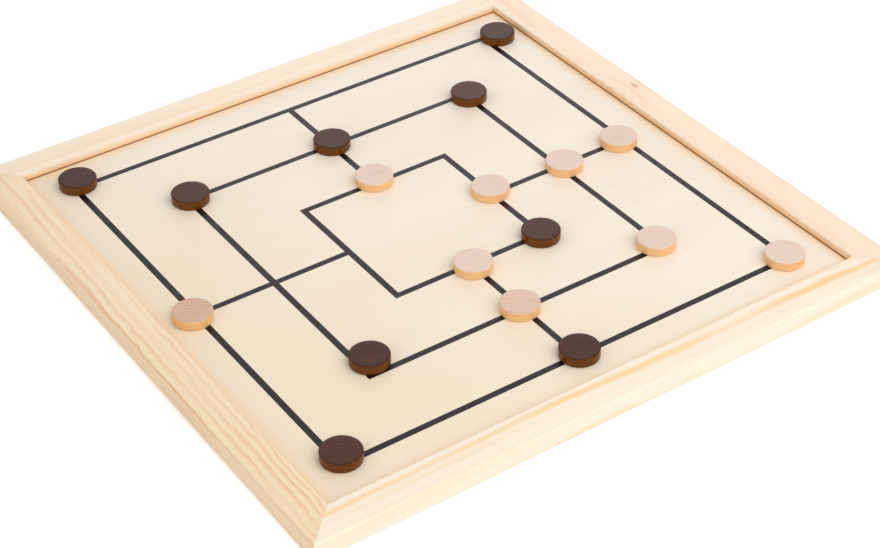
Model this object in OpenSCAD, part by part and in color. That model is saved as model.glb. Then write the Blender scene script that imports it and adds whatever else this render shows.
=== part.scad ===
// Framed board for nine men's morris, with its eighteen loose wooden discs.
// A thin panel with the printed pattern sits captive in grooved rails that are mitred
// and held at each corner by V-nails. The discs lie on the panel as in a game.
// The origin is the middle of the underside, +Z is up and -Y is the near rail.

/* [Pattern] */
// Distance from one square of the pattern to the next
pitch = 50; // [40:1:60]
// Free panel between the outermost square and the rails
margin = 24; // [20:1:40]
// Width of a printed line
line_w = 4; // [2:0.25:6]
// Depth of the printed lines, flush with the panel's top
ink_t = 0.2; // [0.1:0.05:0.4]
// How far the print sits off the middle of the board, along X
print_shift_x = -2; // [-5:0.5:3]
// How far the print sits off the middle of the board, along Y
print_shift_y = -0.5; // [-5:0.5:5]

/* [Frame] */
// Width of a rail, seen from above
rail_w = 21.5; // [17:0.5:28]
// Height of a rail
rail_h = 12.5; // [11:0.5:18]
// Rounding of the rail's two outer edges
outer_edge_r = 2; // [0.5:0.25:2.5]
// Rounding of the rail's two inner edges
inner_edge_r = 1; // [0.25:0.25:1.5]

/* [Panel] */
// Thickness of the panel
panel_t = 4; // [3:0.25:5]
// How far the panel's top lies below the top of the rails
panel_drop = 4.25; // [3:0.25:5]
// How far the panel reaches into the groove of a rail
panel_tongue = 5.5; // [3:0.5:7]
// Room for the wood to swell between the panel's edge and the end of its groove
swell_gap = 0.5; // [0.2:0.1:1]
// Free height above the panel in its groove
groove_slack = 0.1; // [0.05:0.05:0.3]

/* [V-nails] */
// V-nails across each mitre
nails_per_corner = 2; // [2:1:3]
// Height of a V-nail, driven flush with the underside
nail_h = 7; // [5:0.5:9]
// Length of each leg of a V-nail
nail_leg = 4.5; // [3:0.25:5]
// Thickness of the nail's steel strip
nail_t = 0.5; // [0.3:0.05:0.8]
// Wood left between a nail's leg and the outside of the rail
nail_outer_land = 2.5; // [2.5:0.25:3.5]
// Wood left between the innermost nail and the groove
nail_inner_land = 1.5; // [1:0.25:2]

/* [Discs] */
// Diameter of a disc
disc_d = 23; // [18:0.5:28]
// Thickness of a disc
disc_t = 6; // [4:0.5:9]
// Rounding of a disc's two edges
disc_edge_r = 0.7; // [0.3:0.1:1.5]

/* [Hidden] */
$fn = 96;

opening = 6 * pitch + 2 * margin;
frame_side = opening + 2 * rail_w;
panel_top = rail_h - panel_drop;
panel_under = panel_top - panel_t;
panel_side = opening + 2 * panel_tongue;
groove_depth = panel_tongue + swell_gap;
groove_h = panel_t + groove_slack;

// Cuts run past the face that they open, so that no skin is left on it.
past = 1;

// Wood behind the groove, which the V-nails share.
nail_wood = rail_w - groove_depth - nail_outer_land - nail_inner_land - nail_leg;
nail_pitch = nail_wood / (nails_per_corner - 1);

// Where each disc lies: column and row of the pattern in pitches from its middle, and then
// how many millimetres the player's hand has left it off that point, along X and Y.
dark_places = [
    [-3, 3, 3, 2],
    [-2, 2, 1, -1],
    [0, 2, 0, -1],
    [3, 3, 8, -5],
    [2, 2, 0, -5],
    [1, -1, -2, -2],
    [-2, -2, 6, 10],
    [0, -3, 1, 0],
    [-3, -3, 3, 4]
];
light_places = [
    [0, 1, 0, 1],
    [1, 0, 0, 1],
    [2, 0, 2, -3],
    [3, 0, -5, -1],
    [2, -2, -3, 3],
    [3, -3, -3, 0],
    [0, -1, -1, -4],
    [0, -2, -2, 0],
    [-3, 0, -3, -2]
];

pine = "#f3d8b4";
plywood = "#f6e6d2";
ink = "#3d4048";
steel = "#a9adb3";
dark_beech = "#5a4038";
light_beech = "#e6c9ae";

rail_names = ["rail_front", "rail_right", "rail_back", "rail_left"];
dark_names = [for (i = [1:len(dark_places)]) str("dark_disc_", i)];
light_names = [for (i = [1:len(light_places)]) str("light_disc_", i)];
board_names = concat(rail_names, ["playing_panel", "printed_lines", "corner_v_nails"]);

// What a rounding of radius r takes off a corner at the origin that fills +X and +Y.
module corner_waste(r) {
    difference() {
        translate([-past, -past]) square(r + past);
        translate([r, r]) circle(r);
    }
}

// The moulding's section: the outside at x = 0, the groove open towards the board.
module rail_section() {
    difference() {
        square([rail_w, rail_h]);
        corner_waste(outer_edge_r);
        translate([0, rail_h]) mirror([0, 1]) corner_waste(outer_edge_r);
        translate([rail_w, 0]) mirror([1, 0]) corner_waste(inner_edge_r);
        translate([rail_w, rail_h]) rotate(180) corner_waste(inner_edge_r);
        translate([rail_w - groove_depth, panel_under]) square([groove_depth + past, groove_h]);
    }
}

// One V-nail from above: the point looks to the board, a leg runs into each of the two rails.
module v_nail_section() {
    translate([-nail_leg, -nail_t / 2]) square([nail_leg + nail_t / 2, nail_t]);
    translate([-nail_t / 2, -nail_leg]) square([nail_t, nail_leg + nail_t / 2]);
}

// All V-nails as seen from above, a row of them along each mitre.
module v_nail_sections() {
    for (corner = [0:3]) {
        rotate(corner * 90) {
            for (i = [0:nails_per_corner - 1]) {
                from_outside = nail_outer_land + nail_leg + i * nail_pitch;
                place = frame_side / 2 - from_outside;
                translate([-place, -place]) v_nail_section();
            }
        }
    }
}

// A rail of the moulding, mitred at both ends. Side 0 is the near one, and the count goes
// anticlockwise.
module rail(side) {
    half = frame_side / 2;
    color(pine)
    rotate(side * 90)
    difference() {
        intersection() {
            translate([-half, -half, 0])
                rotate([90, 0, 90])
                linear_extrude(frame_side) rail_section();
            translate([0, 0, -past])
                linear_extrude(rail_h + 2 * past)
                polygon([[-half, -half], [half, -half], [0, 0]]);
        }
        translate([0, 0, -past])
            linear_extrude(nail_h + past) v_nail_sections();
    }
}

// The printed pattern from above: three nested squares joined at the middle of each side.
module pattern() {
    translate([print_shift_x, print_shift_y]) {
        for (ring = [1:3]) {
            difference() {
                square(2 * ring * pitch + line_w, center = true);
                square(2 * ring * pitch - line_w, center = true);
            }
        }
        for (side = [0:3]) {
            rotate(side * 90) translate([-line_w / 2, pitch]) square([line_w, 2 * pitch]);
        }
    }
}

module printed_lines() {
    color(ink)
    translate([0, 0, panel_top - ink_t])
        linear_extrude(ink_t) pattern();
}

module playing_panel() {
    color(plywood)
    difference() {
        translate([-panel_side / 2, -panel_side / 2, panel_under])
            cube([panel_side, panel_side, panel_t]);
        translate([0, 0, panel_top - ink_t])
            linear_extrude(ink_t + past) pattern();
    }
}

module corner_v_nails() {
    color(steel)
    linear_extrude(nail_h) v_nail_sections();
}

// A turned disc, lying on the panel at its place in the pattern.
module disc(place) {
    x = print_shift_x + place[0] * pitch + place[2];
    y = print_shift_y + place[1] * pitch + place[3];
    translate([x, y, panel_top])
    rotate_extrude()
    difference() {
        square([disc_d / 2, disc_t]);
        translate([disc_d / 2, 0]) mirror([1, 0]) corner_waste(disc_edge_r);
        translate([disc_d / 2, disc_t]) rotate(180) corner_waste(disc_edge_r);
    }
}

module dark_disc(i) {
    color(dark_beech) disc(dark_places[i]);
}

module light_disc(i) {
    color(light_beech) disc(light_places[i]);
}

for (side = [0:3]) {
    rail(side);
}
playing_panel();
printed_lines();
corner_v_nails();
for (i = [0:len(dark_places) - 1]) {
    dark_disc(i);
}
for (i = [0:len(light_places) - 1]) {
    light_disc(i);
}
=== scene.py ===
"""Looks for the framed nine men's morris board: mitred pine rails, veneered panel, print, discs.

Lengths are in metres in the frame's own axes: +Z up, -Y the near rail, +X the right rail.
Colours are written as they look on screen, 0 to 255.
"""
import math
import random

import bmesh
import bpy
from mathutils import Matrix, Vector


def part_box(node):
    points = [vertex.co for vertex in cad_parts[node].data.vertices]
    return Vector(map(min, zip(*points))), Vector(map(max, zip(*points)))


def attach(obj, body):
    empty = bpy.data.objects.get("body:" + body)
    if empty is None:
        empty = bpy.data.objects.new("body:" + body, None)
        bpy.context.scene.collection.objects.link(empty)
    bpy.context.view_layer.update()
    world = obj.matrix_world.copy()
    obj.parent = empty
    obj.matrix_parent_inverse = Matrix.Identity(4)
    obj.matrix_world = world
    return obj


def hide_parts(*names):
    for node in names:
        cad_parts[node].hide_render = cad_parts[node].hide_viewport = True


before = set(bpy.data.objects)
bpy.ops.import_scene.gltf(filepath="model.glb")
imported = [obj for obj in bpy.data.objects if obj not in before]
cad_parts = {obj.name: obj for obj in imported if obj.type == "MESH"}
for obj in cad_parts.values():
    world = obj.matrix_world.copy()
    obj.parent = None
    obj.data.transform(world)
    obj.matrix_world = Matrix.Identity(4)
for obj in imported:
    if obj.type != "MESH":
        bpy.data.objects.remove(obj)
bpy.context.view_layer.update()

MM = 0.001
random.seed(9)

# The board's sizes, read from the solids.
FRONT_LO, FRONT_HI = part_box("rail_front")
PANEL_LO, PANEL_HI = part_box("playing_panel")
PRINT_LO, PRINT_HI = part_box("printed_lines")
HALF = FRONT_HI.x
RAIL_W = FRONT_HI.y - FRONT_LO.y
RAIL_H = FRONT_HI.z
PANEL_TOP = PANEL_HI.z
PANEL_UNDER = PANEL_LO.z
OPENING = HALF - RAIL_W

# The moulding's roundings and its groove, and the easing of the discs, as in the solids.
OUTER_EDGE_R = 2 * MM
INNER_EDGE_R = 1 * MM
GROOVE_DEPTH = 6 * MM
GROOVE_SLACK = 0.1 * MM
DISC_EDGE_R = 0.7 * MM
# How far the sharp edges of a mitre are broken.
MITRE_ARRIS = 0.12 * MM
# How hollow the faces of a disc are in their middle.
DISC_HOLLOW = 0.04 * MM
# How finely the meshes are divided: along a rail, round a disc and round each rounded edge.
RAIL_STEPS = 40
DISC_SEGMENTS = 96
OUTER_EDGE_STEPS = 8
INNER_EDGE_STEPS = 6
DISC_EDGE_STEPS = 7
# Edges that turn by more than this stay crisp.
CRISP_ANGLE = math.radians(28)

# Names of the point attributes that carry the timber's coordinates and the stripes' strength.
TIMBER = "timber"
FIGURE = "figure"
# How far apart the four rails lie in the timber, so that no two have the same grain.
TIMBER_STEP = 0.9
# Where the right rail's small knot lies, along the rail from its middle and in from the outside.
KNOT_AT = 40 * MM
KNOT_IN = 7 * MM

# The first three are painted light and shade: the inner walls' deeper orange, the dark line of
# crevice shade where panel and rails meet, and the panel's warm glow of bounced light near the
# rails.
PAINTED_BOUNCE_ORANGE = (246, 192, 122)
PAINTED_CREVICE_BROWN = (150, 96, 48)
PAINTED_BOUNCE_GLOW = (255, 216, 164)
MOTTLE_PALE = (255, 240, 222)
RESIN_BROWN = (176, 128, 82)
KNOT_BROWN = (206, 132, 86)

# The four rails in turn, anticlockwise from the near one: node, slot and timber. The settings
# of a timber are explained at pine().
RAILS = [
    ("rail_front", "pine_front", dict(
        pale=(254, 240, 220), late=(248, 214, 160), ring=6.5 * MM, pith=(52 * MM, -26 * MM),
        lean=0.010, amount=0.42, waver=(9, 9 * MM), band=(17 * MM, 3.5 * MM, (252, 202, 124)))),
    ("rail_right", "pine_right", dict(
        pale=(253, 229, 202), late=(246, 196, 150), ring=7.5 * MM, pith=(6 * MM, -34 * MM),
        lean=0.02, amount=0.8, waver=(14, 14 * MM),
        knot=(KNOT_AT + HALF + TIMBER_STEP, KNOT_IN))),
    ("rail_back", "pine_back", dict(
        pale=(254, 235, 211), late=(246, 208, 160), ring=5.5 * MM, pith=(-26 * MM, -20 * MM),
        lean=-0.01, amount=0.5, waver=(7, 8 * MM), band=(10.5 * MM, 3 * MM, (248, 212, 166)))),
    ("rail_left", "pine_left", dict(
        pale=(248, 224, 187), late=(236, 172, 122), ring=2.8 * MM, pith=(38 * MM, -16 * MM),
        lean=0.016, amount=0.85, waver=(36, 5.5 * MM))),
]

# The two kinds of disc. The settings are explained at beech(); `side` is the rim's painted bounce
# light and also the pores' colour.
DISC_WOODS = {
    "dark": dict(base=(58, 24, 13), streak=(96, 58, 38), side=(110, 60, 2),
                 rough_low=0.36, pores=0.4, gloss=0.2, blotch=0.45),
    "light": dict(base=(236, 212, 197), streak=(205, 152, 118), side=(248, 192, 118),
                  rough_low=0.5, pores=0.25, gloss=0.4, blotch=0.14),
}
# For each disc in turn: how strong its stripes are, 0 to 1, and how they lie, in degrees.
DISC_FIGURES = {
    "dark": [(0.3, 20), (0.5, -10), (0.4, 60), (0.3, 5), (0.8, 30), (0.5, -40), (0.3, 15),
             (0.4, 50), (0.6, 25)],
    "light": [(0.06, 10), (0.10, -30), (0.08, 55), (0.14, 20), (0.12, -15), (0.05, 35),
              (0.10, 0), (0.45, 40), (0.9, 33)],
}

# The white table: its side, how far it lies below the rails so that the two faces don't
# flicker, and the light that lifts its pale grey to clean white where it is seen directly.
FLOOR_SIZE = 8.0
FLOOR_GAP = 0.2 * MM
FLOOR_LIFT = 0.35

# The white studio: how brightly it lights plain surfaces, and how much of it gloss mirrors.
WORLD_FILL = 0.60
WORLD_GLOSS = 0.15
# Each softbox: place, power in watts, side in metres, and whether it lights plain surfaces too
# or only shows as sheen on the varnish and the ink.
SOFTBOXES = {
    "front_softbox": (Vector((0.45, -1.25, 1.45)), 21.0, 2.0, True),
    "left_softbox": (Vector((-1.6, -0.2, 0.55)), 4.5, 1.4, True),
    "sheen_card": (Vector((0.95, 1.35, 0.8)), 12.0, 1.4, False),
}

# The view: the point looked at, and where the camera stands from it. Angles are in degrees.
CAMERA_AIM = (PRINT_LO + PRINT_HI) / 2 + Vector((-19.34 * MM, -47.27 * MM, 0))
CAMERA_DISTANCE = 1159.65 * MM
CAMERA_HEADING = 33.614
CAMERA_ELEVATION = 37.173
CAMERA_ROLL = -1.16
CAMERA_LENS = 83.94


# Node graphs

class Graph:
    """A material's node tree, built from small calls that each return a socket."""

    def __init__(self, name):
        self.material = bpy.data.materials.new(name)
        self.material.use_nodes = True
        self.tree = self.material.node_tree
        self.tree.nodes.clear()

    def put(self, socket, value):
        if isinstance(value, bpy.types.NodeSocket):
            self.tree.links.new(value, socket)
        elif value is not None:
            socket.default_value = value

    def node(self, kind, **settings):
        made = self.tree.nodes.new(kind)
        for key, value in settings.items():
            setattr(made, key, value)
        return made

    def math(self, op, a, b=None):
        made = self.node("ShaderNodeMath", operation=op)
        for socket, value in zip(made.inputs, (a, b)):
            self.put(socket, value)
        return made.outputs[0]

    def split(self, vector):
        made = self.node("ShaderNodeSeparateXYZ")
        self.put(made.inputs[0], vector)
        return made.outputs[0], made.outputs[1], made.outputs[2]

    def join(self, x, y, z):
        made = self.node("ShaderNodeCombineXYZ")
        for socket, value in zip(made.inputs, (x, y, z)):
            self.put(socket, value)
        return made.outputs[0]

    def scaled(self, vector, factors):
        made = self.node("ShaderNodeVectorMath", operation="MULTIPLY")
        self.put(made.inputs[0], vector)
        self.put(made.inputs[1], factors)
        return made.outputs[0]

    def noise(self, vector, scale, detail=2.0, roughness=0.5):
        """Perlin noise, about 0.5 in the middle."""
        made = self.node("ShaderNodeTexNoise")
        self.put(made.inputs["Vector"], vector)
        self.put(made.inputs["Scale"], scale)
        self.put(made.inputs["Detail"], detail)
        self.put(made.inputs["Roughness"], roughness)
        return made.outputs["Fac"]

    def grain(self, coords, factors, detail=2.0, roughness=0.5):
        """Noise drawn out along one axis: `factors` are its times per metre on each."""
        return self.noise(self.scaled(coords, factors), 1.0, detail, roughness)

    def span(self, value, low, high, to_low=0.0, to_high=1.0):
        """value taken from low..high to to_low..to_high, smoothly and held at the ends."""
        made = self.node("ShaderNodeMapRange", interpolation_type="SMOOTHSTEP")
        for socket, number in zip(made.inputs, (value, low, high, to_low, to_high)):
            self.put(socket, number)
        return made.outputs[0]

    def mix(self, amount, a, b):
        made = self.node("ShaderNodeMix", data_type="RGBA")
        self.put(made.inputs["Factor"], amount)
        self.put(made.inputs[6], a)
        self.put(made.inputs[7], b)
        return made.outputs[2]

    def bump(self, height, depth):
        """A bump of about `depth` metres for a height of 0 to 1."""
        made = self.node("ShaderNodeBump")
        self.put(made.inputs["Strength"], 1.0)
        self.put(made.inputs["Distance"], depth)
        self.put(made.inputs["Height"], height)
        return made.outputs[0]

    def shade(self, color, roughness, normal, **plain):
        """Ends the tree in a Principled shader; `plain` sets its own sockets by name."""
        made = self.node("ShaderNodeBsdfPrincipled")
        self.put(made.inputs["Base Color"], color)
        self.put(made.inputs["Roughness"], roughness)
        self.put(made.inputs["Normal"], normal)
        for key, value in plain.items():
            made.inputs[key.replace("_", " ")].default_value = value
        return self.end(made)

    def end(self, shader):
        out = self.node("ShaderNodeOutputMaterial")
        self.tree.links.new(shader.outputs[0], out.inputs["Surface"])
        return self.material


def srgb(red, green, blue):
    """A colour written as it looks on screen, for a shader's socket."""
    def linear(v):
        v = v / 255
        return v / 12.92 if v <= 0.04045 else ((v + 0.055) / 1.055) ** 2.4
    return (linear(red), linear(green), linear(blue), 1.0)


def timber_coords(g):
    """The piece's place in the timber it was cut from: along, across and up, in metres."""
    return g.node("ShaderNodeAttribute", attribute_name=TIMBER).outputs["Vector"]


def object_coords(g):
    return g.node("ShaderNodeTexCoord").outputs["Object"]


# Materials

def ring_sway(g, coords, waver):
    """How far the growth rings wander sideways on their way along the rail, in metres."""
    rate, reach = waver
    wander = g.grain(coords, (rate, 60, 60))
    sway = g.math("MULTIPLY", g.math("SUBTRACT", wander, 0.5), reach)
    ripple = g.grain(coords, (4 * rate, 90, 90), 1.0)
    return g.math("ADD", sway, g.math("MULTIPLY", g.math("SUBTRACT", ripple, 0.5), 0.3 * reach))


def latewood_at(g, x, y, ring):
    """The darker late part of each growth ring, 0 to 1, at x and y metres from the pith line.
    It comes up slowly and ends sharply, and the rings are unevenly wide."""
    radius = g.math("SQRT", g.math("ADD", g.math("MULTIPLY", x, x), g.math("MULTIPLY", y, y)))
    uneven = g.noise(g.join(0.0, 0.0, g.math("MULTIPLY", radius, 70)), 1.0, 1.0)
    turns = g.math("ADD", g.math("DIVIDE", radius, ring), g.math("MULTIPLY", uneven, 2.2))
    phase = g.math("FRACT", turns)
    return g.math("MULTIPLY", g.span(phase, 0.25, 0.86), g.span(phase, 0.90, 1.0, 1.0, 0.0))


def colour_band(g, color, coords, x, pith_across, band):
    """A patchy band of deeper colour that follows the rings along the rail."""
    centre, half_width, tint = band
    off = g.math("ABSOLUTE", g.math("SUBTRACT", x, centre - pith_across))
    inside = g.span(off, half_width * 0.2, half_width, 0.8, 0.0)
    patches = g.grain(coords, (10, 160, 160))
    inside = g.math("MULTIPLY", inside, g.span(patches, 0.32, 0.62, 0.4, 1.0))
    return g.mix(inside, color, srgb(*tint))


def knot_core(g, color, away, beside):
    """The small brown core of a knot, longer along the rail than across it."""
    length = g.math("POWER", g.math("DIVIDE", away, 2.6), 2)
    off = g.math("SQRT", g.math("ADD", length, g.math("POWER", beside, 2)))
    return g.mix(g.span(off, 0.4 * MM, 2.2 * MM, 0.75, 0.0), color, srgb(*KNOT_BROWN))


def painted_crevice_and_bounce(g, color, height, inward):
    """Painted shade and light where the rail's inner wall meets the panel: a thin brown line of
    painted crevice shade, with the wall above it painted a deeper orange, as painted shade warmed
    by light bounced from the panel, strongest near the panel."""
    wall = g.span(inward, RAIL_W - 0.9 * MM, RAIL_W - 0.1 * MM)
    glow = g.span(height, PANEL_TOP, RAIL_H - INNER_EDGE_R, 0.75, 0.25)
    line = g.span(height, PANEL_TOP + 0.3 * MM, PANEL_TOP + 1.1 * MM, 0.85, 0.0)
    color = g.mix(g.math("MULTIPLY", wall, glow), color, srgb(*PAINTED_BOUNCE_ORANGE))
    return g.mix(g.math("MULTIPLY", wall, line), color, srgb(*PAINTED_CREVICE_BROWN))


def pine(name, pale, late, ring, pith, lean, amount, waver, band=None, knot=None):
    """Varnished pine, `pale` with `late` streaks of strength `amount`. Growth rings `ring` wide
    lie round a pith line `pith` metres across and up from the rail's outer bottom edge, lean
    across the rail by `lean` per metre of length and waver by (times per metre, metres). A band
    is (across, half width, tint), a knot (along, across)."""
    g = Graph(name)
    coords = timber_coords(g)
    along, across, up = g.split(coords)

    sway = ring_sway(g, coords, waver)
    if knot:
        beside = g.math("SUBTRACT", across, knot[1])
        away = g.math("ABSOLUTE", g.math("SUBTRACT", along, knot[0]))
        spread = g.span(away, 0.0, 22 * MM, 1.6, 0.0)
        sway = g.math("ADD", sway, g.math("MULTIPLY", beside, spread))
    drift = g.math("MULTIPLY", along, lean)
    x = g.math("ADD", g.math("ADD", g.math("SUBTRACT", across, pith[0]), drift), sway)
    y = g.math("SUBTRACT", up, pith[1])
    latewood = latewood_at(g, x, y, ring)

    strong = g.span(g.grain(coords, (9, 110, 110)), 0.3, 0.72, 0.15, 1.0)
    streak = g.math("MULTIPLY", g.math("MULTIPLY", latewood, strong), amount)
    color = g.mix(streak, srgb(*pale), srgb(*late))
    if band:
        color = colour_band(g, color, coords, x, pith[0], band)
    fine = g.span(g.grain(coords, (45, 1700, 1700), 3.0, 0.6), 0.3, 0.7)
    color = g.mix(g.math("MULTIPLY", fine, 0.10), color, srgb(*late))
    mottle = g.span(g.grain(coords, (14, 40, 40)), 0.35, 0.75, 0.0, 0.18)
    color = g.mix(mottle, color, srgb(*MOTTLE_PALE))
    # Resin canals: short brown lines, a few millimetres long.
    canals = g.span(g.grain(coords, (160, 2600, 2600), 1.0), 0.70, 0.78, 0.0, 0.35)
    color = g.mix(canals, color, srgb(*RESIN_BROWN))
    if knot:
        color = knot_core(g, color, away, beside)
    # Painted crevice shade and painted bounce light at the foot of the inner wall.
    color = painted_crevice_and_bounce(g, color, up, across)

    rough = g.span(fine, 0.0, 1.0, 0.42, 0.52)
    relief = g.bump(g.math("ADD", g.math("MULTIPLY", latewood, 0.6), fine), 0.03 * MM)
    return g.shade(color, rough, relief, Coat_Weight=0.12, Coat_Roughness=0.3)


def veneer_fibres(g, coords):
    """The fine fibres of the panel's face, which also show through the print."""
    return g.grain(coords, (60, 1500, 1500))


def plywood(name):
    """The panel's face veneer: nearly white rotary-cut wood under a thin satin lacquer, painted a
    little darker and yellower towards the left and the near side as painted shade, with a painted
    glow of bounced light and a painted line of crevice shade at its edges."""
    g = Graph(name)
    coords = object_coords(g)
    clouds = g.grain(coords, (6, 14, 14), 3.0)
    figure = g.grain(coords, (10, 90, 90), 3.0, 0.6)
    fibres = veneer_fibres(g, coords)
    color = g.mix(g.span(clouds, 0.3, 0.7), srgb(251, 239, 222), srgb(248, 232, 211))
    color = g.mix(g.span(figure, 0.35, 0.75, 0.0, 0.30), color, srgb(253, 243, 229))
    color = g.mix(g.span(fibres, 0.55, 0.8, 0.0, 0.10), color, srgb(232, 206, 176))

    x, y, _ = g.split(coords)
    # Painted shade: darker and yellower towards the near left, where the light falls off.
    near_left = g.math("ADD", x, g.math("MULTIPLY", y, 0.5))
    painted_light_falloff = g.math("MULTIPLY", g.span(near_left, -HALF, 0.3 * HALF, 1.0, 0.0), 0.7)
    color = g.mix(painted_light_falloff, color, srgb(243, 224, 194))
    # Painted bounce light: a warm glow towards the rails, and painted crevice shade where the
    # panel meets them.
    outward = g.math("MAXIMUM", g.math("ABSOLUTE", x), g.math("ABSOLUTE", y))
    glow = g.span(outward, OPENING - 9 * MM, OPENING, 0.0, 0.55)
    color = g.mix(glow, color, srgb(*PAINTED_BOUNCE_GLOW))
    painted_crevice_shade = g.span(outward, OPENING - 0.8 * MM, OPENING - 0.2 * MM, 0.0, 0.85)
    color = g.mix(painted_crevice_shade, color, srgb(*PAINTED_CREVICE_BROWN))

    rough = g.span(fibres, 0.3, 0.7, 0.46, 0.56)
    return g.shade(color, rough, g.bump(fibres, 0.015 * MM))


def ink(name):
    """Screen-printed dark grey, a little uneven, with the veneer's fibres under it."""
    g = Graph(name)
    coords = object_coords(g)
    blotches = g.noise(coords, 260.0, 3.0)
    fibres = veneer_fibres(g, coords)
    color = g.mix(g.span(blotches, 0.3, 0.7), srgb(27, 2, 8), srgb(36, 8, 14))
    color = g.mix(g.span(fibres, 0.62, 0.8, 0.0, 0.25), color, srgb(88, 82, 84))
    rough = g.span(blotches, 0.3, 0.7, 0.42, 0.52)
    return g.shade(color, rough, g.bump(fibres, 0.01 * MM), Specular_IOR_Level=0.38)


def beech(name, base, streak, side, rough_low, pores, gloss, blotch):
    """Turned beech, `base` with stripes of `streak` where growth rings cross the disc, as
    strong as the disc's own figure says. Short pores lie between them, of strength `pores`.
    The stain or varnish is blotchy by up to `blotch`. The rim is painted towards `side`, a
    deeper, warmer colour that stands in for the light bounced onto the sides: painted bounce
    light."""
    g = Graph(name)
    coords = timber_coords(g)
    strength = g.node("ShaderNodeAttribute", attribute_name=FIGURE).outputs["Fac"]
    sway = g.math("MULTIPLY", g.grain(coords, (40, 90, 90)), 2.4 * MM)
    _, across, _ = g.split(coords)
    lines = g.math("DIVIDE", g.math("ADD", across, sway), 2.3 * MM)
    stripes = g.span(g.math("PINGPONG", lines, 0.5), 0.1, 0.45)
    patches = g.grain(coords, (50, 160, 160))
    amount = g.math("MULTIPLY", stripes, g.span(patches, 0.3, 0.75, 0.35, 1.0))
    amount = g.math("MULTIPLY", amount, strength)
    clouds = g.span(g.grain(coords, (55, 130, 130), 3.0), 0.42, 0.7, 0.0, blotch)
    deeper = g.math("MAXIMUM", g.math("MULTIPLY", strength, 0.6), clouds)
    color = g.mix(deeper, srgb(*base), srgb(*streak))
    color = g.mix(amount, color, srgb(*streak))
    fibres = g.grain(coords, (220, 3800, 3800), 3.0, 0.6)
    color = g.mix(g.span(fibres, 0.56, 0.74, 0.0, pores), color, srgb(*side))

    normal = g.node("ShaderNodeNewGeometry").outputs["Normal"]
    facing = g.math("ABSOLUTE", g.split(normal)[2])
    rim = g.span(facing, 0.25, 0.85, 1.0, 0.0)
    # Painted bounce light: the sides are tinted towards `side` for the warm light the panel
    # throws on them.
    color = g.mix(g.math("MULTIPLY", rim, 0.8), color, srgb(*side))
    rough = g.span(fibres, 0.3, 0.7, rough_low, rough_low + 0.12)
    rough = g.math("SUBTRACT", rough, g.math("MULTIPLY", rim, 0.18))
    relief = g.bump(g.math("ADD", fibres, g.math("MULTIPLY", stripes, strength)), 0.02 * MM)
    return g.shade(color, rough, relief, Specular_IOR_Level=gloss)


def strip_steel(name):
    """Bare strip steel, faintly scratched along the strip, with some grey scale left on it."""
    g = Graph(name)
    coords = object_coords(g)
    scratches = g.grain(coords, (4000, 4000, 300))
    scale = g.noise(coords, 900.0, 3.0)
    color = g.mix(g.span(scale, 0.4, 0.7), srgb(196, 198, 202), srgb(150, 150, 152))
    rough = g.span(scratches, 0.3, 0.7, 0.28, 0.45)
    return g.shade(color, rough, g.bump(scratches, 0.01 * MM), Metallic=1.0)


def floor_white(name):
    """A white table: seen straight on it is lifted to clean white, and keeps the shadow."""
    g = Graph(name)
    grain = g.noise(object_coords(g), 900.0)
    paint = g.node("ShaderNodeBsdfDiffuse")
    g.put(paint.inputs["Color"], g.mix(grain, srgb(246, 246, 247), srgb(250, 250, 250)))
    lift = g.node("ShaderNodeEmission")
    lift.inputs["Color"].default_value = (1, 1, 1, 1)
    seen = g.node("ShaderNodeLightPath").outputs["Is Camera Ray"]
    g.put(lift.inputs["Strength"], g.math("MULTIPLY", seen, FLOOR_LIFT))
    both = g.node("ShaderNodeAddShader")
    g.tree.links.new(paint.outputs[0], both.inputs[0])
    g.tree.links.new(lift.outputs[0], both.inputs[1])
    return g.end(both)


# Meshes

def mesh_object(name, vertices, faces):
    mesh = bpy.data.meshes.new(name)
    mesh.from_pydata(vertices, [], faces)
    made = bpy.data.objects.new(name, mesh)
    bpy.context.scene.collection.objects.link(made)
    return made


def arc(cx, cy, radius, start, end, steps):
    """Points round a centre from one angle to another, in degrees."""
    turns = [math.radians(start + (end - start) * i / steps) for i in range(steps + 1)]
    return [(cx + radius * math.cos(t), cy + radius * math.sin(t)) for t in turns]


def smooth_shading(obj):
    """Smooth faces, with sharp edges kept crisp."""
    tool = bmesh.new()
    tool.from_mesh(obj.data)
    for face in tool.faces:
        face.smooth = True
    for edge in tool.edges:
        sharp = len(edge.link_faces) == 2 and edge.calc_face_angle() > CRISP_ANGLE
        edge.smooth = not sharp
    tool.to_mesh(obj.data)
    tool.free()


def apply_modifiers(obj):
    """Puts the modified mesh in place of the object's own."""
    graph = bpy.context.evaluated_depsgraph_get()
    final = bpy.data.meshes.new_from_object(obj.evaluated_get(graph))
    obj.modifiers.clear()
    obj.data = final


def set_timber(obj, matrix):
    """Gives each point its place in the timber: the matrix takes the frame's axes there."""
    values = [c for v in obj.data.vertices for c in matrix @ v.co]
    attribute = obj.data.attributes.new(TIMBER, "FLOAT_VECTOR", "POINT")
    attribute.data.foreach_set("vector", values)


def rail_section():
    """The moulding's outline, anticlockwise, as (in from the outside, height) in metres."""
    outer, inner, groove = OUTER_EDGE_R, INNER_EDGE_R, RAIL_W - GROOVE_DEPTH
    return (
        arc(outer, outer, outer, 180, 270, OUTER_EDGE_STEPS)
        + arc(RAIL_W - inner, inner, inner, 270, 360, INNER_EDGE_STEPS)
        + [(RAIL_W, PANEL_UNDER), (groove, PANEL_UNDER)]
        + [(groove, PANEL_TOP + GROOVE_SLACK), (RAIL_W, PANEL_TOP + GROOVE_SLACK)]
        + arc(RAIL_W - inner, RAIL_H - inner, inner, 0, 90, INNER_EDGE_STEPS)
        + arc(outer, RAIL_H - outer, outer, 90, 180, OUTER_EDGE_STEPS)
    )


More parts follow.
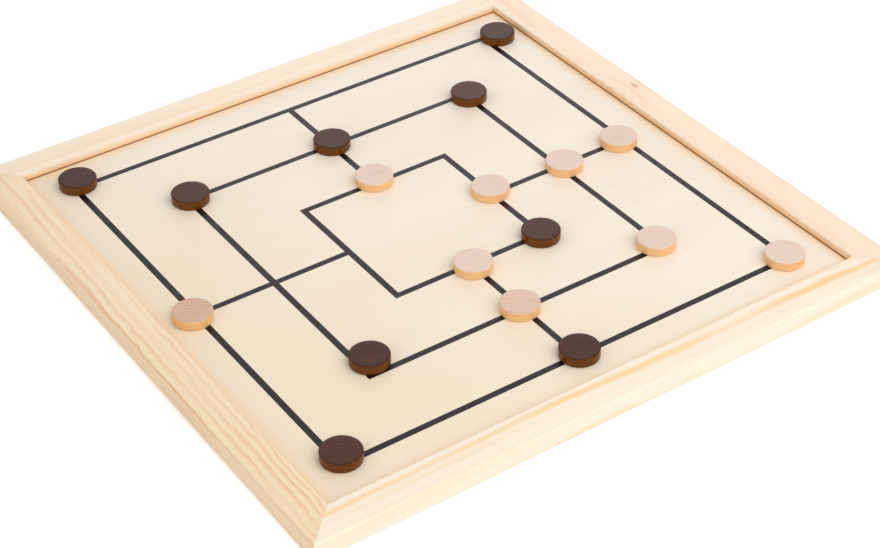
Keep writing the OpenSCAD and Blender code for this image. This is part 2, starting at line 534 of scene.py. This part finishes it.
def inset(outline, depth):
    """The closed outline drawn in by a depth, each point along the mean of its two normals."""
    moved = []
    for i, here in enumerate(outline):
        before, after = Vector(outline[i - 1]), Vector(outline[(i + 1) % len(outline)])
        here = Vector(here)
        normals = [Vector((-d.y, d.x)).normalized() for d in (here - before, after - here)]
        mean = (normals[0] + normals[1]).normalized()
        moved.append(tuple(here + mean * (depth / max(mean.dot(normals[0]), 0.5))))
    return moved


def cut_nail_slots(rail):
    slots = rail.modifiers.new("nail_slots", "BOOLEAN")
    slots.operation = "DIFFERENCE"
    slots.solver = "EXACT"
    slots.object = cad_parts["corner_v_nails"]
    apply_modifiers(rail)


def make_rail(node, side):
    """A mitred rail: the section swept along its side, the mitre's arrises broken, and the
    slots cut for the nails."""
    section = rail_section()
    worn = inset(section, MITRE_ARRIS)
    # Each ring of points has its outline, its place along the rail from -1 to 1, and how far
    # it stands back from the plane of the mitre.
    rings = [(worn, -1, 0)]
    rings += [(section, 2 * i / RAIL_STEPS - 1, MITRE_ARRIS) for i in range(RAIL_STEPS + 1)]
    rings += [(worn, 1, 0)]
    vertices, faces = [], []
    for outline, run, back in rings:
        for inward, height in outline:
            vertices.append((run * (HALF - inward - back), -HALF + inward, height))
    count = len(section)
    for i in range(len(rings) - 1):
        for j in range(count):
            k = (j + 1) % count
            a, b = i * count, (i + 1) * count
            faces.append((a + j, b + j, b + k, a + k))
    faces.append(tuple(reversed(range(count))))
    faces.append(tuple(range((len(rings) - 1) * count, len(rings) * count)))
    made = mesh_object(node + "_wood", vertices, faces)
    made.data.transform(Matrix.Rotation(math.radians(90 * side), 4, "Z"))
    cut_nail_slots(made)
    smooth_shading(made)

    turn = Matrix.Rotation(math.radians(-90 * side), 4, "Z")
    start = Matrix.Translation((HALF + TIMBER_STEP * side, HALF, 0))
    set_timber(made, start @ turn)
    return made


def disc_profile(radius, height):
    """Half the disc's section from the middle of its underside to the middle of its top, as
    (out from the axis, height): hollow faces and eased rims."""
    ease = DISC_EDGE_R
    under = [(radius * f, DISC_HOLLOW * (1 - f * f)) for f in (0.25, 0.5, 0.75)]
    over = [(r, height - h) for r, h in reversed(under)]
    return (
        under
        + arc(radius - ease, ease, ease, -90, 0, DISC_EDGE_STEPS)
        + arc(radius - ease, height - ease, ease, 0, 90, DISC_EDGE_STEPS)
        + over
    )


def make_disc(node, figure, turn):
    """A turned disc. Its figure, 0 to 1, says how strong its stripes are, and turn, in degrees,
    how they lie."""
    low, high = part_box(node)
    centre = (low + high) / 2
    profile = disc_profile((high.x - low.x) / 2, high.z - low.z)
    vertices, faces = [], []
    for i in range(DISC_SEGMENTS):
        at = 2 * math.pi * i / DISC_SEGMENTS
        for r, h in profile:
            vertices.append((centre.x + r * math.cos(at), centre.y + r * math.sin(at), low.z + h))
    count = len(profile)
    for i in range(DISC_SEGMENTS):
        a, b = i * count, (i + 1) % DISC_SEGMENTS * count
        for j in range(count - 1):
            faces.append((a + j, b + j, b + j + 1, a + j + 1))
    caps = ((low.z + DISC_HOLLOW, 0, False), (high.z - DISC_HOLLOW, count - 1, True))
    for cap_z, j, top in caps:
        vertices.append((centre.x, centre.y, cap_z))
        middle = len(vertices) - 1
        for i in range(DISC_SEGMENTS):
            a, b = i * count + j, (i + 1) % DISC_SEGMENTS * count + j
            faces.append((a, b, middle) if top else (b, a, middle))
    made = mesh_object(node + "_wood", vertices, faces)
    smooth_shading(made)

    grain = Matrix.Rotation(math.radians(turn), 4, "Z")
    away = Matrix.Translation([random.uniform(0, 2) for _ in range(3)])
    set_timber(made, away @ grain @ Matrix.Translation(-centre))
    strength = made.data.attributes.new(FIGURE, "FLOAT", "POINT")
    strength.data.foreach_set("value", [figure] * len(made.data.vertices))
    return made


# The scene

def dress_board():
    for side, (node, slot, timber) in enumerate(RAILS):
        rail = make_rail(node, side)
        rail.data.materials.clear()
        rail.data.materials.append(pine(slot + "_look", **timber))
        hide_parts(node)
        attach(rail, "board")
    for node, look in (
        ("playing_panel", plywood("veneer_look")),
        ("printed_lines", ink("ink_look")),
        ("corner_v_nails", strip_steel("steel_look")),
    ):
        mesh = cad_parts[node].data
        mesh.materials.clear()
        mesh.materials.append(look)


def dress_discs():
    for kind, figures in DISC_FIGURES.items():
        look = beech(kind + "_beech_look", **DISC_WOODS[kind])
        for number, (figure, turn) in enumerate(figures, start=1):
            node = f"{kind}_disc_{number}"
            disc = make_disc(node, figure, turn)
            disc.data.materials.append(look)
            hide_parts(node)
            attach(disc, node)


def make_floor():
    s = FLOOR_SIZE / 2
    corners = [(-s, -s, 0), (s, -s, 0), (s, s, 0), (-s, s, 0)]
    floor = mesh_object("table_top", corners, [(0, 1, 2, 3)])
    floor.location.z = -FLOOR_GAP
    floor.data.materials.append(floor_white("table_look"))


def make_softbox(name, place, power, size, diffuse):
    lamp = bpy.data.lights.new(name, "AREA")
    lamp.energy = power
    lamp.size = size
    made = bpy.data.objects.new(name, lamp)
    made.location = place
    made.rotation_euler = (-place).to_track_quat("-Z", "Y").to_euler()
    made.visible_diffuse = diffuse
    bpy.context.scene.collection.objects.link(made)


def make_studio():
    """The softboxes, and a white world that gloss sees dimly and the camera as clean white."""
    for name, settings in SOFTBOXES.items():
        make_softbox(name, *settings)
    world = bpy.data.worlds.new("studio")
    bpy.context.scene.world = world
    world.use_nodes = True
    tree = world.node_tree
    tree.nodes.clear()

    def white(strength):
        made = tree.nodes.new("ShaderNodeBackground")
        made.inputs["Color"].default_value = (1.0, 1.0, 1.0, 1.0)
        made.inputs["Strength"].default_value = strength
        return made.outputs[0]

    rays = tree.nodes.new("ShaderNodeLightPath")
    shader = white(WORLD_FILL)
    for ray, strength in (("Is Glossy Ray", WORLD_GLOSS), ("Is Camera Ray", 1.0)):
        choose = tree.nodes.new("ShaderNodeMixShader")
        tree.links.new(rays.outputs[ray], choose.inputs[0])
        tree.links.new(shader, choose.inputs[1])
        tree.links.new(white(strength), choose.inputs[2])
        shader = choose.outputs[0]
    out = tree.nodes.new("ShaderNodeOutputWorld")
    tree.links.new(shader, out.inputs["Surface"])
    bpy.context.scene.view_settings.view_transform = "Standard"


def make_camera():
    heading, tilt = math.radians(-CAMERA_HEADING), math.radians(CAMERA_ELEVATION)
    level = Vector((math.sin(heading), -math.cos(heading), 0))
    back = level * math.cos(tilt) + Vector((0, 0, math.sin(tilt)))
    camera = bpy.data.objects.new("camera", bpy.data.cameras.new("camera"))
    camera.data.sensor_width = 36.0
    camera.data.lens = CAMERA_LENS
    camera.data.clip_start = 0.05
    camera.data.clip_end = 20.0
    turn = (-back).to_track_quat("-Z", "Y").to_matrix().to_4x4()
    roll = Matrix.Rotation(math.radians(CAMERA_ROLL), 4, "Z")
    camera.matrix_world = Matrix.Translation(CAMERA_AIM + back * CAMERA_DISTANCE) @ turn @ roll
    bpy.context.scene.collection.objects.link(camera)
    bpy.context.scene.camera = camera


make_camera()
make_studio()
make_floor()
dress_board()
dress_discs()
